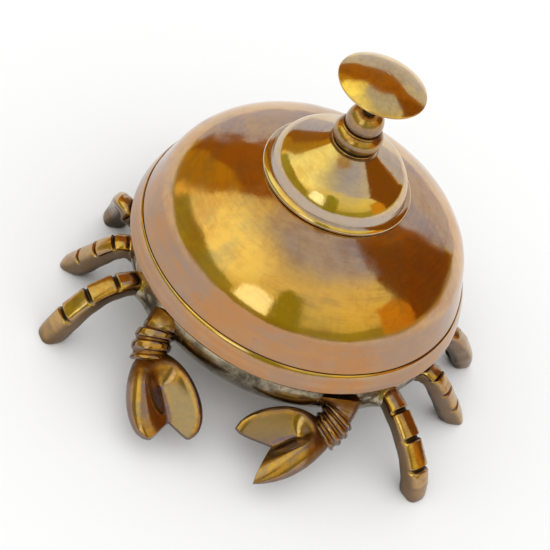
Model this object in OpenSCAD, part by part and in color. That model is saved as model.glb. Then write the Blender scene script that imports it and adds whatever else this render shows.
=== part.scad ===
// Crab desk bell: a spun brass bell over a cast crab body, rung by a sprung plunger
// that tips a hammer up against the inside of the dome.
// +Z is up, the crab faces -Y, and z = 0 is the surface that its feet stand on.

/* [Bell] */
// Radius of the bell at the widest part of its lip
lip_r = 46; // [45:0.5:47]
// Height of the widest part of the lip above the surface
lip_z = 24; // [23:0.5:26]
// Radius of the dome's wall just above the lip
wall_r = 42; // [41.5:0.25:42.5]
// Height of the dome from the top of its wall to its crown
dome_rise = 22; // [20:0.5:24]
// Thickness of the spun brass sheet of the bell
sheet_t = 1.3; // [1:0.1:1.5]
// Radius of the raised cap on top of the dome
crown_r = 19.7; // [18.5:0.1:20.5]

/* [Push button] */
// Radius of the finger button
knob_r = 11.2; // [10:0.2:13]
// Radius of the plunger rod
rod_r = 1.8; // [1.5:0.1:2]
// How far the button travels
travel = 3.5; // [3:0.1:3.7]

/* [Crab] */
// Outer radius of the cast body under the bell
shell_r = 44.7; // [44:0.1:44.8]
// Thickness of the cast body's wall
shell_t = 2.8; // [2:0.1:3.2]
// Width of a leg
leg_w = 5.6; // [4.5:0.1:6.5]
// Depth of a leg from its top to its underside
leg_h = 5.4; // [4.5:0.1:6]
// Radius of a claw's wrist
wrist_r = 4.9; // [4.6:0.1:5.2]
// Length of the longest pincer from wrist to finger tip
pincer_len = 23.2; // [21:0.2:24]

/* [Striker] */
// Distance from the plunger to the striker's pivot
lever = 9; // [8.5:0.1:9.5]
// Radius of the hammer's ball
hammer_r = 3.5; // [3:0.1:4]

/* [Hidden] */
$fn = 96;

// the bell's axis stands this far from the middle of the footprint
bell_x = -0.9;
bell_y = 7.1;

brass = "#b8892e";
turned = "#c49a45";
cast = "#5d5238";
limb = "#a07430";
steel = "#8c8c90";
fibre = "#6b2f22";

// clearances
running = 0.05;
fit_gap = 0.02;

// dome: an ellipse whose middle lies a little outside the axis, over a flat land;
// its wall leaves the ellipse at wall_turn and flares straight down to the groove
dome_cx = 2;
dome_cz = lip_z + 7.9;
dome_a = wall_r - dome_cx;
wall_turn = 10.7;
land_r = 8;
land_out = acos((land_r - dome_cx) / dome_a);
land_in = acos((land_r - dome_cx) / (dome_a - sheet_t));
dome_top = dome_cz + dome_rise * sin(land_out);
dome_under = dome_cz + (dome_rise - sheet_t) * sin(land_in);
lip_in = lip_r - 3.1;
groove_z = lip_z + 4.6;

// centre post and what is stacked on it
post_r = 4;
post_bottom = 27.5;
post_top = 66;
bridge_top = 34;
bridge_t = 2;
washer_t = 1;
shoulder_z = dome_under - washer_t;
nut_h = 4;

// crown cap
bead_r = 0.75;
bead_c = crown_r - bead_r;
bead_z = dome_cz + dome_rise * sqrt(1 - pow((bead_c - dome_cx) / dome_a, 2)) + bead_r + 0.07;
neck_z = lip_z + 40.8;
neck_r = 6.2;
cap_t = 1;

// finial collar
collar_top = neck_z + 11.2;
cavity_r = 3.6;
roof_t = 1.6;

// plunger
rod_end = 24.85;
rod_top = lip_z + 60;
clip_t = 0.8;
clip_z = collar_top - roof_t - clip_t - 0.1;
knob_z = lip_z + 60.3;
spring_low = post_top + fit_gap;
spring_high = clip_z - fit_gap;
wire_r = 0.3;
coil_r = 2.75;
coils = 4.5;

// striker
pivot_z = 24;
pin_r = 1.25;
arm_t = 1.6;
arm_w = 6;
swing = 112 * travel / 1000 * 180 / PI;
strike_at = 40;
strike_in = hammer_r + 0.15;
wall_y = dome_cx + (dome_a - sheet_t) * cos(strike_at);
wall_z = dome_cz + (dome_rise - sheet_t) * sin(strike_at);
wall_n = [cos(strike_at) / (dome_a - sheet_t), sin(strike_at) / (dome_rise - sheet_t)];
struck = [wall_y, wall_z] - strike_in * wall_n / norm(wall_n) - [lever, pivot_z];
reach = norm(struck);
rest_angle = atan2(struck[1], struck[0]) - swing;
hammer_at = [lever + reach * cos(rest_angle), pivot_z + reach * sin(rest_angle)];

// bridge
bridge_half = 10;
bridge_depth = 14;
foot_out = 20;
screw_x = 15;
screw_r = 1.5;

// crab shell
rim_z = 21.8;
bulge_z = 18.2;
floor_z = 11.2;
belly_z = floor_z - shell_t;

// legs: plan angle and height of the root on the body, then two shaping points and the foot;
// left and right differ a little, as hand-bent castings do
root_r = 45;
front_left = [-53.5, 17, [-44.5, -33, 18.5], [-48, -38.5, 11], [-51.5, -39, 0]];
front_right = [48.5, 17, [39, -34.5, 16], [47.5, -42, 10.5], [49.5, -42, 0]];
middle_left = [-70, 16, [-46, -17, 17.5], [-50.5, -16, 5.5], [-54.5, -14, 0]];
middle_right = [69, 16, [45, -17, 18], [52, -14, 4.5], [56, -12, 0]];
rear_left = [-86.5, 15, [-50.5, -3, 18.5], [-46.5, 8, 10], [-49.5, 7.5, 0]];
rear_right = [91.5, 15.5, [48, 1.5, 14.5], [54, 7, 6], [54.5, 8.5, 0]];
back_left = [-146, 15.5, [-28.5, 42.5, 18], [-31.5, 46.5, 10], [-31.5, 46.5, 0]];
back_right = [146, 15.5, [28.5, 42.5, 18], [31.5, 46.5, 10], [31.5, 46.5, 0]];
legs = [front_left, front_right, middle_left, middle_right,
        rear_left, rear_right, back_left, back_right];
notch_d = 1.3;

// claws: root, shaping point and wrist of each arm, then the pincer's heading, pitch and roll
arm_left = [[-26.2, -36.9, 14.9], [-27.7, -39, 14.2], [-25.9, -43.5, 10.7]];
arm_right = [[22.4, -39.75, 15.7], [23.7, -41.9, 13.8], [20.6, -45, 10.9]];
aim_left = [37, 9, 10];
aim_right = [54, 9, 12];
neck_part = 0.3;

// fingers, along and across from the wrist: two shaping points and the tip of the outer edge,
// the same for the inner edge, and how far along the notch between the fingers lies
heel_half = 4.2;
drawn_len = 23.2;
fingers_left = [[[1.1, 5.7], [13.1, 12.5], [20.7, 7.4]], [[0.3, 7.5], [19.2, 13.4], [23.2, 3.8]], 17.2];
fingers_right = [[[5.4, 7.4], [12, 10.2], [21, 8]], [[2, 8.7], [14.8, 12.3], [21.1, 6.7]], 13.1];

// ---- helpers ----

function bezier2(p, t) = (1 - t) * (1 - t) * p[0] + 2 * t * (1 - t) * p[1] + t * t * p[2];

function bezier3(p, t) = pow(1 - t, 3) * p[0] + 3 * t * pow(1 - t, 2) * p[1]
    + 3 * t * t * (1 - t) * p[2] + pow(t, 3) * p[3];

function arc(cx, cz, a, b, from, to, n) =
    [for (i = [0 : n]) let (t = from + (to - from) * i / n) [cx + a * cos(t), cz + b * sin(t)]];

function bump(x, middle, half) = max(0, 1 - pow((x - middle) / half, 2));

function grid_faces(rows, cols) =
    [for (i = [0 : rows - 2], j = [0 : cols - 1]) let (k = (j + 1) % cols)
        [i * cols + j, i * cols + k, (i + 1) * cols + k, (i + 1) * cols + j]];

module on_axis() {
    translate([bell_x, bell_y, 0]) children();
}

module tube(outer, inner, low, high) {
    translate([0, 0, low]) difference() {
        cylinder(r = outer, h = high - low);
        translate([0, 0, -1]) cylinder(r = inner, h = high - low + 2);
    }
}

module hex_nut(half_flats, bore, low, high) {
    translate([0, 0, low]) difference() {
        cylinder(r = half_flats / cos(30), h = high - low, $fn = 6);
        translate([0, 0, -1]) cylinder(r = bore, h = high - low + 2);
    }
}

// ---- push button and plunger ----

// mushroom button: a shallow lens with a sharp rim and a short threaded hub
module knob() {
    cap_h = 3.5;
    under_h = 2.6;
    hub_r = 2.8;
    hub_z = collar_top + travel + 0.7;
    ball_up = (knob_r * knob_r + cap_h * cap_h) / (2 * cap_h);
    ball_down = (knob_r * knob_r + under_h * under_h) / (2 * under_h);
    up_edge = asin(knob_r / ball_up);
    down_edge = asin(knob_r / ball_down);
    hub_edge = asin(hub_r / ball_down);
    rim_t = 0.5;
    color(turned) on_axis() difference() {
        rotate_extrude() polygon(concat(
            [[0, hub_z], [hub_r, hub_z]],
            arc(0, knob_z - rim_t - under_h + ball_down, ball_down, ball_down,
                hub_edge - 90, down_edge - 90, 12),
            arc(0, knob_z + cap_h - ball_up, ball_up, ball_up, 90 - up_edge, 90, 20)));
        translate([0, 0, hub_z - 1]) cylinder(r = rod_r + fit_gap, h = rod_top - hub_z + 1 + fit_gap);
    }
}

// straight steel rod, grooved for its clip, with a rounded end that bears on the striker
module plunger_rod() {
    color(steel) on_axis() difference() {
        rotate_extrude() polygon(concat(
            arc(0, rod_end + rod_r, rod_r, rod_r, -90, 0, 10),
            [[rod_r, rod_top], [0, rod_top]]));
        tube(rod_r + 1, rod_r - 0.4, clip_z - fit_gap, clip_z + clip_t + fit_gap);
    }
}

// retaining ring on the rod: the spring lifts it against the collar's roof
module plunger_clip() {
    color(steel) on_axis() tube(3.3, rod_r - 0.4 + fit_gap, clip_z, clip_z + clip_t);
}

// return spring around the rod, inside the collar
module plunger_spring() {
    turns = coils * 12;
    sides = 8;
    climb = spring_high - spring_low - 2 * wire_r;
    rings = [for (i = [0 : turns]) for (j = [0 : sides - 1])
        let (a = i * 30, b = j * 360 / sides, r = coil_r + wire_r * cos(b))
        [r * cos(a), r * sin(a), spring_low + wire_r + climb * i / turns + wire_r * sin(b)]];
    low_cap = [[for (j = [0 : sides - 1]) sides - 1 - j]];
    high_cap = [[for (j = [0 : sides - 1]) turns * sides + j]];
    color(steel) on_axis()
        polyhedron(points = rings, faces = concat(grid_faces(turns + 1, sides), low_cap, high_cap));
}

// ---- finial and bell ----

// two-tier turned collar: a fat lower barrel, a fine rim and a smaller upper barrel
module finial_collar() {
    foot_r = 5.9;
    color(turned) on_axis() difference() {
        rotate_extrude() polygon(concat(
            [[0, neck_z + fit_gap], [foot_r, neck_z + fit_gap], [foot_r, neck_z + 0.45]],
            arc(foot_r - 2.6, neck_z + 2.9, 3.05, 2.85, -46, 50, 16),
            [[5.1, neck_z + 5.3], [5.15, neck_z + 5.6], [4.95, neck_z + 5.8]],
            arc(1.85, neck_z + 7.1, 2.9, 4.1, -17, 82, 20),
            [[0, collar_top]]));
        translate([0, 0, neck_z - 1]) cylinder(r = post_r + fit_gap, h = post_top - neck_z + 1);
        translate([0, 0, post_top]) cylinder(r = cavity_r, h = collar_top - roof_t - post_top);
        translate([0, 0, post_top]) cylinder(r = rod_r + running, h = 20);
    }
}

// spun cap: a fat rolled edge, a wide round shoulder and a slope up to the neck
module crown_cap() {
    shoulder = [crown_r - 9.5, neck_z - 11.5];
    shoulder_r = 8;
    inner_r = shoulder_r - cap_t;
    color(brass) on_axis() difference() {
        rotate_extrude() difference() {
            polygon(concat(
                [[0, neck_z], [neck_r, neck_z]],
                arc(shoulder[0], shoulder[1], shoulder_r, shoulder_r, 60, 12, 12),
                arc(crown_r - 2.6, bead_z, 2.6, 1.45, 69, 0, 10),
                arc(bead_c, bead_z, bead_r, bead_r, -10, -90, 8),
                [[0, bead_z - bead_r]]));
            polygon(concat(
                [[0, neck_z - cap_t], [neck_r - 0.3, neck_z - cap_t]],
                arc(shoulder[0], shoulder[1], inner_r, inner_r, 60, 12, 12),
                [[bead_c - 1.9, bead_z + 1.5], [bead_c - 1.6, bead_z + 0.6]],
                [[bead_c - 0.9, bead_z - 0.2], [bead_c - 0.1, bead_z - 0.74]],
                [[bead_c - 0.1, bead_z - bead_r - 1], [0, bead_z - 3]]));
        }
        translate([0, 0, neck_z - 10]) cylinder(r = post_r + fit_gap, h = 20);
    }
}

// spun dome: rolled lip, a groove, a steep wall and an elliptical crown with a flat land
module bell_dome() {
    color(brass) on_axis() difference() {
        rotate_extrude() polygon(concat(
            [[0, dome_top]],
            arc(dome_cx, dome_cz, dome_a, dome_rise, land_out, wall_turn, 40),
            [[wall_r + 1.9, groove_z + 0.05], [wall_r + 2, groove_z - 0.2]],
            [[lip_r - 1.6, lip_z + 4.1], [lip_r - 1.15, lip_z + 3.1]],
            [[lip_r - 0.75, lip_z + 1.9], [lip_r - 0.3, lip_z + 0.7]],
            arc(lip_r - 1.2, lip_z - 0.2, 1.2, 1.1, 0, -90, 8),
            [[lip_in, lip_z - 1.3], [lip_in, groove_z - 1]],
            arc(dome_cx, dome_cz, dome_a - sheet_t, dome_rise - sheet_t, wall_turn, land_in, 40),
            [[0, dome_under]]));
        translate([0, 0, dome_under - 1]) cylinder(r = post_r + fit_gap, h = sheet_t + 2);
    }
}

// thin hexagon nut that clamps the dome
module dome_nut() {
    low = dome_top + washer_t;
    color(turned) on_axis() hex_nut(6, post_r + fit_gap, low + fit_gap, low + nut_h);
}

// fibre washers each side of the dome, which let it ring
module upper_washer() {
    color(fibre) on_axis() tube(7, post_r + fit_gap, dome_top + fit_gap, dome_top + washer_t);
}

module lower_washer() {
    color(fibre) on_axis() tube(7, post_r + fit_gap, shoulder_z, dome_under - fit_gap);
}

// ---- post and bridge ----

// hollow post with a flange on the bridge and a shoulder under the dome
module centre_post() {
    flange_r = 6.5;
    color(turned) on_axis() difference() {
        rotate_extrude() polygon([
            [0, post_bottom], [post_r, post_bottom],
            [post_r, bridge_top + fit_gap], [flange_r, bridge_top + fit_gap],
            [flange_r, bridge_top + 2.2], [post_r + 0.9, bridge_top + 3],
            [post_r + 0.9, shoulder_z - 3], [flange_r, shoulder_z - 2], [flange_r, shoulder_z - fit_gap],
            [post_r, shoulder_z - fit_gap], [post_r, post_top], [0, post_top]]);
        translate([0, 0, post_bottom - 1]) cylinder(r = rod_r + running, h = post_top);
    }
}

// steel bridge: a plate on two walls that carry the striker's pin, with a foot at each side
module bridge() {
    ear_out = lever + 4;
    color(steel) on_axis() difference() {
        union() {
            translate([-bridge_half, -bridge_depth / 2, bridge_top - bridge_t])
                cube([2 * bridge_half, bridge_depth, bridge_t]);
            for (side = [-1, 1]) {
                translate([side * (bridge_half - bridge_t / 2), 0, 0]) {
                    translate([-bridge_t / 2, -bridge_depth / 2, floor_z])
                        cube([bridge_t, bridge_depth, bridge_top - floor_z - bridge_t / 2]);
                    translate([-bridge_t / 2, 0, pivot_z - 4])
                        cube([bridge_t, ear_out - 4, 8]);
                    translate([-bridge_t / 2, ear_out - 4, pivot_z]) rotate([0, 90, 0])
                        cylinder(r = 4, h = bridge_t);
                }
                translate([side * (bridge_half + foot_out) / 2, 0, floor_z + bridge_t / 2])
                    cube([foot_out - bridge_half + bridge_t, bridge_depth, bridge_t], center = true);
            }
        }
        translate([0, 0, bridge_top - 5]) cylinder(r = post_r + fit_gap, h = 10);
        translate([-20, lever, pivot_z]) rotate([0, 90, 0]) cylinder(r = pin_r + fit_gap, h = 40);
        for (side = [-1, 1])
            translate([side * screw_x, 0, floor_z - 1]) cylinder(r = screw_r + fit_gap, h = 5);
    }
}

module post_nut() {
    color(turned) on_axis()
        hex_nut(5, post_r + fit_gap, bridge_top - bridge_t - nut_h, bridge_top - bridge_t - fit_gap);
}

// two pan-head screws, put in from under the belly
module bridge_screws() {
    head_r = 3;
    color(turned) on_axis() for (side = [-1, 1]) translate([side * screw_x, 0, 0]) difference() {
        union() {
            translate([0, 0, belly_z - 1.6]) cylinder(r = head_r, h = 1.6 - fit_gap);
            translate([0, 0, belly_z - 1]) cylinder(r = screw_r, h = floor_z + bridge_t + 3.2 - belly_z + 1);
        }
        translate([-4, -0.4, belly_z - 2]) cube([8, 0.8, 1]);
    }
}

module bridge_nuts() {
    color(turned) on_axis() for (side = [-1, 1]) translate([side * screw_x, 0, 0])
        hex_nut(2.75, screw_r + fit_gap, floor_z + bridge_t + fit_gap, floor_z + bridge_t + 2.4);
}

// ---- striker ----

// steel lever: a short tongue under the plunger and a long arm up to the hammer
module striker_arm() {
    tongue = 4;
    hub_r = 2.6;
    hub_half = bridge_half - bridge_t - 0.3;
    color(steel) on_axis() translate([0, lever, pivot_z]) difference() {
        union() {
            rotate([0, 90, 0]) translate([0, 0, -hub_half]) cylinder(r = hub_r, h = 2 * hub_half);
            translate([-arm_w / 2, -lever - tongue, -arm_t / 2]) cube([arm_w, lever + tongue, arm_t]);
            rotate([rest_angle, 0, 0]) translate([-arm_w / 2, 0, -arm_t / 2])
                cube([arm_w, reach - hammer_r + 1.2, arm_t]);
        }
        translate([-20, 0, 0]) rotate([0, 90, 0]) cylinder(r = pin_r + running, h = 40);
        rotate([rest_angle, 0, 0]) translate([0, reach, 0]) sphere(r = hammer_r + fit_gap);
    }
}

module striker_pin() {
    color(steel) on_axis() translate([-bridge_half - 1.6, lever, pivot_z]) rotate([0, 90, 0])
        cylinder(r = pin_r, h = 2 * bridge_half + 3.2);
}

// spring clips pressed on the pin's ends
module pin_clips() {
    color(steel) on_axis() for (side = [-1, 1])
        translate([side * (bridge_half + 0.5), lever, pivot_z]) rotate([0, 90, 0])
            translate([0, 0, -0.4]) difference() {
                cylinder(r = 2.5, h = 0.8);
                translate([0, 0, -1]) cylinder(r = pin_r + fit_gap, h = 3);
            }
}

// ball hammer at the end of the lever
module hammer_head() {
    color(turned) on_axis() translate([0, hammer_at[0], hammer_at[1]]) sphere(r = hammer_r);
}

// ---- crab ----

// cast dish with a bulged side; each limb stands on a short flat-faced stub
module crab_shell() {
    color(cast) on_axis() difference() {
        union() {
            rotate_extrude() difference() {
                polygon(concat(
                    [[0, rim_z], [shell_r - 0.6, rim_z]],
                    arc(shell_r - 9, bulge_z, 9, 8.2, 10, -72, 20),
                    [[shell_r - 14, belly_z + 0.5], [shell_r - 22, belly_z], [0, belly_z]]));
                polygon(concat(
                    [[0, rim_z + 1], [shell_r - shell_t - 0.4, rim_z + 1]],
                    arc(shell_r - 9, bulge_z, 9 - shell_t, 8.2 - shell_t, 0, -72, 20),
                    [[shell_r - 16, floor_z], [0, floor_z]]));
            }
            for (spec = legs) rotate([0, 0, spec[0] - 90]) limb_stub(spec[1]);
            arm_stub(arm_left);
            arm_stub(arm_right);
        }
        for (side = [-1, 1])
            translate([side * screw_x, 0, belly_z - 1]) cylinder(r = screw_r + 0.1, h = shell_t + 3);
    }
}

// a stub for a leg has the leg's own outline
module limb_stub(z) {
    length = root_r - shell_r + 4;
    translate([root_r - length, 0, z]) rotate([90, 0, 90])
        linear_extrude(length - fit_gap) polygon(leg_ring(leg_w, leg_h, 0));
}

// a stub for an arm ends in a plane square to the arm's neck
module arm_stub(path) {
    start = path[0];
    dir = bezier2(path, neck_part) - start;
    plan = atan2(dir[1], dir[0]);
    dip = atan2(-dir[2], norm([dir[0], dir[1]]));
    translate(start) rotate([0, 90 + dip, plan])
        translate([0, 0, -4]) cylinder(r = wrist_r - 0.5, h = 4 - fit_gap);
}

// one ring of a leg's outline: flat top, round sides, with a cut across the top at each joint
function leg_ring(w, h, cut) = [
    for (a = [15 : 30 : 345]) let (x = sign(cos(a)) * pow(abs(cos(a)), 0.6),
                                   z = sign(sin(a)) * pow(abs(sin(a)), 0.6))
    [w / 2 * x, z > 0 ? z * (h / 2 - cut) : z * h / 2]];

function leg_cut(t) = max([for (c = [0.2, 0.46, 0.72]) abs(t - c) < 0.028 ? notch_d : 0]);

function root_of(spec) = [root_r * sin(spec[0]), -root_r * cos(spec[0]), spec[1]];

// arched leg, swept along its curve from a flat face on its stub to a flat sole
module leg(spec) {
    root = root_of(spec);
    curve = [root, spec[2], spec[3], spec[4]];
    out = [sin(spec[0]), -cos(spec[0])];
    away = [spec[4][0] - root[0], spec[4][1] - root[1]] / norm(spec[4] - root);
    stops = [0, 0.1, 0.165, 0.175, 0.225, 0.235, 0.33, 0.425, 0.435, 0.485, 0.495, 0.59,
             0.685, 0.695, 0.745, 0.755, 0.86, 1];
    rings = [for (t = stops) let (
            middle = bezier3(curve, t),
            heading = out * (1 - t) + away * t,
            across = [-heading[1], heading[0], 0] / norm(heading),
            run = bezier3(curve, min(1, t + 0.01)) - bezier3(curve, max(0, t - 0.01)),
            along = t == 0 ? [out[0], out[1], 0] : t == 1 ? [0, 0, -1] : run,
            up = cross(along, across),
            grow = 1 + 0.2 * t)
        for (p = leg_ring(leg_w * grow, leg_h * grow, leg_cut(t)))
            middle + p[0] * across + p[1] * up / norm(up)];
    n = len(stops);
    color(limb) on_axis()
        polyhedron(points = rings, faces = concat(
            [for (f = grid_faces(n, 12)) [f[3], f[2], f[1], f[0]]],
            [[for (j = [0 : 11]) j]], [[for (j = [0 : 11]) n * 12 - 1 - j]]), convexity = 4);
}

module leg_front_left() { leg(front_left); }
module leg_front_right() { leg(front_right); }
module leg_middle_left() { leg(middle_left); }
module leg_middle_right() { leg(middle_right); }
module leg_rear_left() { leg(rear_left); }
module leg_rear_right() { leg(rear_right); }
module leg_back_left() { leg(back_left); }
module leg_back_right() { leg(back_right); }

// carries its children to a claw's wrist, facing along the pincer
module at_wrist(path, aim, side) {
    translate(path[2]) rotate([0, 0, -90 - side * aim[0]]) rotate([0, aim[1], 0])
        rotate([-side * aim[2], 0, 0]) children();
}

// claw arm: a neck, then flared rings that overlap along a bent path to the pincer's flat heel
module claw_arm(path, aim, side, ring_count) {
    stops = [for (i = [-1 : ring_count]) i < 0 ? 0 : neck_part + (1 - neck_part) * i / ring_count];
    color(limb) on_axis() difference() {
        union() {
            for (i = [0 : ring_count]) {
                from = bezier2(path, stops[i]);
                dir = bezier2(path, stops[i + 1]) - from;
                plan = atan2(dir[1], dir[0]);
                dip = atan2(-dir[2], norm([dir[0], dir[1]]));
                translate(from) rotate([0, 90 + dip, plan])
                    cylinder(r1 = wrist_r - (i == 0 ? 0.5 : 1), r2 = wrist_r, h = norm(dir));
            }
            translate(path[2]) sphere(r = heel_half);
        }
        at_wrist(path, aim, side) translate([0, -10, -10]) cube(20);
    }
}

module claw_arm_left() { claw_arm(arm_left, aim_left, -1, 3); }
module claw_arm_right() { claw_arm(arm_right, aim_right, 1, 4); }

// pincer surface: s runs from wrist to tips, t from the inner edge (-1) to the outer edge (1)
function edge_at(edge, s) = bezier3([[0, heel_half], edge[0], edge[1], edge[2]], s);
function crest(s, t) = 1.3 * bump(t, 0.45, 0.5) * min(1, s * 1.6)
    - 2.3 * bump(t, -0.12, 0.42) * min(1, max(0, s - 0.25) * 1.8)
    + 0.9 * bump(t, -0.75, 0.3) * min(1, s * 1.6);
function pincer_top(s, t) = 0.7 + (3.6 - 2.6 * s * s) * sqrt(max(0, 1 - pow(abs(t), 2.6))) + crest(s, t);
function pincer_low(s, t) = -0.7 - (3.1 - 2.4 * s * s) * sqrt(max(0, 1 - t * t));
function pincer_at(fingers, side, s, t, z) = let (
        edge = edge_at(t < 0 ? fingers[1] : fingers[0], s),
        valley = fingers[2] * s,
        along = valley + (edge[0] - valley) * pow(abs(t), 0.85))
    [along * pincer_len / drawn_len, side * t * edge[1], z];

module pincer(path, aim, fingers, side) {
    rows = 15;
    cols = 14;
    across = [for (j = [0 : cols]) -1 + 2 * j / cols];
    rings = [for (i = [0 : rows]) let (s = i / rows) concat(
        [for (t = across) pincer_at(fingers, side, s, t, pincer_top(s, t))],
        [for (k = [0 : cols]) let (t = across[cols - k])
            pincer_at(fingers, side, s, t, pincer_low(s, t))])];
    loop = 2 * (cols + 1);
    first = rows * loop;
    faces = concat(grid_faces(rows + 1, loop), [[for (j = [0 : loop - 1]) loop - 1 - j]],
        [for (j = [0 : cols - 1]) [first + j, first + j + 1, first + loop - 2 - j, first + loop - 1 - j]]);
    color(limb) on_axis() at_wrist(path, aim, side) translate([fit_gap, 0, 0])
        polyhedron(points = [for (r = rings) each r],
            faces = side < 0 ? [for (f = faces) [for (k = [len(f) - 1 : -1 : 0]) f[k]]] : faces,
            convexity = 6);
}

module pincer_left() { pincer(arm_left, aim_left, fingers_left, -1); }
module pincer_right() { pincer(arm_right, aim_right, fingers_right, 1); }

knob();
plunger_rod();
plunger_clip();
plunger_spring();
finial_collar();
crown_cap();
bell_dome();
dome_nut();
upper_washer();
lower_washer();
centre_post();
bridge();
post_nut();
bridge_screws();
bridge_nuts();
striker_arm();
striker_pin();
pin_clips();
hammer_head();
crab_shell();
leg_front_left();
leg_front_right();
leg_middle_left();
leg_middle_right();
leg_rear_left();
leg_rear_right();
leg_back_left();
leg_back_right();
claw_arm_left();
claw_arm_right();
pincer_left();
pincer_right();
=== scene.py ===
"""Looks of the crab desk bell: spun and cast brass on a pale floor in soft studio light.

Lengths are millimetres about the bell's axis, with z = 0 on the floor, until put() places
them in the frame in metres.
"""

import math

import bmesh
import bpy
from mathutils import Matrix, Vector, noise

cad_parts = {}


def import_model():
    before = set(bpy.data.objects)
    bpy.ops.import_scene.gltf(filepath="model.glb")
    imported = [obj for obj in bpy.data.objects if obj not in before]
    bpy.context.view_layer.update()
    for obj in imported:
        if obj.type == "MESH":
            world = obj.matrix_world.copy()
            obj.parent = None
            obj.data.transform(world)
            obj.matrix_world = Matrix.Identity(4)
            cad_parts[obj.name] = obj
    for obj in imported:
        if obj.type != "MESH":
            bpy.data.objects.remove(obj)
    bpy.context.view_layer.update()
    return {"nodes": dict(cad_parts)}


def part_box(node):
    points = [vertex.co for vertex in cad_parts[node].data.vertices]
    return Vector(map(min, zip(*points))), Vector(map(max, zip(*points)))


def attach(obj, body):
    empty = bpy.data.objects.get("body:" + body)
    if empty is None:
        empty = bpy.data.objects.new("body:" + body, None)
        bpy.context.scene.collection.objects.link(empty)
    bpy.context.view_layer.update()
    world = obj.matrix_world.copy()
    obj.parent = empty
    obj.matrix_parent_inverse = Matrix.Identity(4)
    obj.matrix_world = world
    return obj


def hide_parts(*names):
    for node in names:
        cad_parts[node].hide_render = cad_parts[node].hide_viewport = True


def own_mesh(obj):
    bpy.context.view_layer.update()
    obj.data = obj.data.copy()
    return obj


MM = 0.001
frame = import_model()

# ---- driving places, from the frame ----


def corners(node):
    """A CAD node's lowest and highest corners in millimetres."""
    low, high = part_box(node)
    return Vector(low) / MM, Vector(high) / MM


dome_low, dome_high = corners("bell_dome")
cap_low, cap_high = corners("crown_cap")
knob_low, knob_high = corners("knob")
shell_low, shell_high = corners("crab_shell")
spring_low, spring_high = corners("plunger_spring")

lip_roll = 1.3
axis_x = (dome_low.x + dome_high.x) / 2
axis_y = (dome_low.y + dome_high.y) / 2
lip_r = (dome_high.x - dome_low.x) / 2
lip_z = dome_low.z + lip_roll
dome_top = dome_high.z
neck_z = cap_high.z
knob_r = (knob_high.x - knob_low.x) / 2

# ---- curves ----


def arc(cx, cz, a, b, start, end, count):
    """Points of an ellipse's arc, angles in degrees, as (radius, height)."""
    steps = [start + (end - start) * i / count for i in range(count + 1)]
    return [(cx + a * math.cos(math.radians(t)), cz + b * math.sin(math.radians(t))) for t in steps]


def spline(points, count):
    """A smooth curve through points (Catmull-Rom), count pieces between each two."""
    ends = [points[0]] + list(points) + [points[-1]]
    curve = []
    for i in range(1, len(ends) - 2):
        p0, p1, p2, p3 = (Vector(p) for p in ends[i - 1:i + 3])
        for k in range(count):
            t = k / count
            curve.append(tuple(0.5 * (2 * p1 + (p2 - p0) * t + (2 * p0 - 5 * p1 + 4 * p2 - p3) * t * t
                                      + (3 * p1 - p0 - 3 * p2 + p3) * t ** 3)))
    curve.append(tuple(points[-1]))
    return curve


def bezier(points, t):
    """A point of the Bezier curve with these shaping points."""
    points = [Vector(p) for p in points]
    while len(points) > 1:
        points = [a.lerp(b, t) for a, b in zip(points, points[1:])]
    return points[0]


def smooth(low, high, x):
    """0 at low, 1 at high, with a soft start and end. Low may be the larger number."""
    t = min(1, max(0, (x - low) / (high - low)))
    return t * t * (3 - 2 * t)


# ---- meshes ----


def put(name, points, faces, nodes, body, material, sharp=32, grime_shade=None):
    """Makes a piece that stands for CAD nodes and rides on their body.

    Sharp is the angle in degrees from which an edge stays crisp. The last argument is each point's amount
    of dirt and painted shade."""
    mesh = bpy.data.meshes.new(name)
    shift = Vector((axis_x, axis_y, 0))
    mesh.from_pydata([(Vector(p) + shift) * MM for p in points], [], faces)
    clean = bmesh.new()
    clean.from_mesh(mesh)
    if grime_shade is not None:
        layer = clean.verts.layers.float.new("grime_and_shade_amount")
        for vert, amount in zip(clean.verts, grime_shade):
            vert[layer] = amount
    bmesh.ops.recalc_face_normals(clean, faces=clean.faces)
    clean.to_mesh(mesh)
    clean.free()
    mesh.shade_smooth()
    mesh.set_sharp_from_angle(angle=math.radians(sharp))
    mesh.materials.append(material)
    obj = bpy.data.objects.new(name, mesh)
    bpy.context.collection.objects.link(obj)
    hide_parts(*nodes)
    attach(obj, body)
    return obj


def lathe(profile, steps, rough=0.0):
    """Turns a closed outline of (radius, height) about the axis, and gives each point's amount of dirt and
    painted shade.

    A point's third number is that amount. Rough is a hand-made waviness in mm."""
    points = []
    grime_shade = []
    rows = []
    for r, z, *grime_and_shade in profile:
        if r < 1e-6:
            rows.append([len(points)])
            points.append(Vector((0, 0, z)))
            grime_shade.append(0)
            continue
        rows.append(list(range(len(points), len(points) + steps)))
        grime_shade += (grime_and_shade or [0]) * steps
        for k in range(steps):
            angle = 2 * math.pi * k / steps
            out = Vector((math.cos(angle), math.sin(angle), 0))
            point = out * r + Vector((0, 0, z))
            swell = noise.noise(point * 0.06) + 0.35 * noise.noise(point * 0.21)
            points.append(point * (1 + rough * swell / max(r, 8)))
    faces = []
    for i in range(len(rows)):
        a, b = rows[i], rows[(i + 1) % len(rows)]
        if len(a) == 1 and len(b) == 1:
            continue
        for k in range(steps):
            n = (k + 1) % steps
            ring = [a[k % len(a)], a[n % len(a)], b[n % len(b)], b[k % len(b)]]
            faces.append(list(dict.fromkeys(ring)))
    return points, faces, grime_shade


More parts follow.
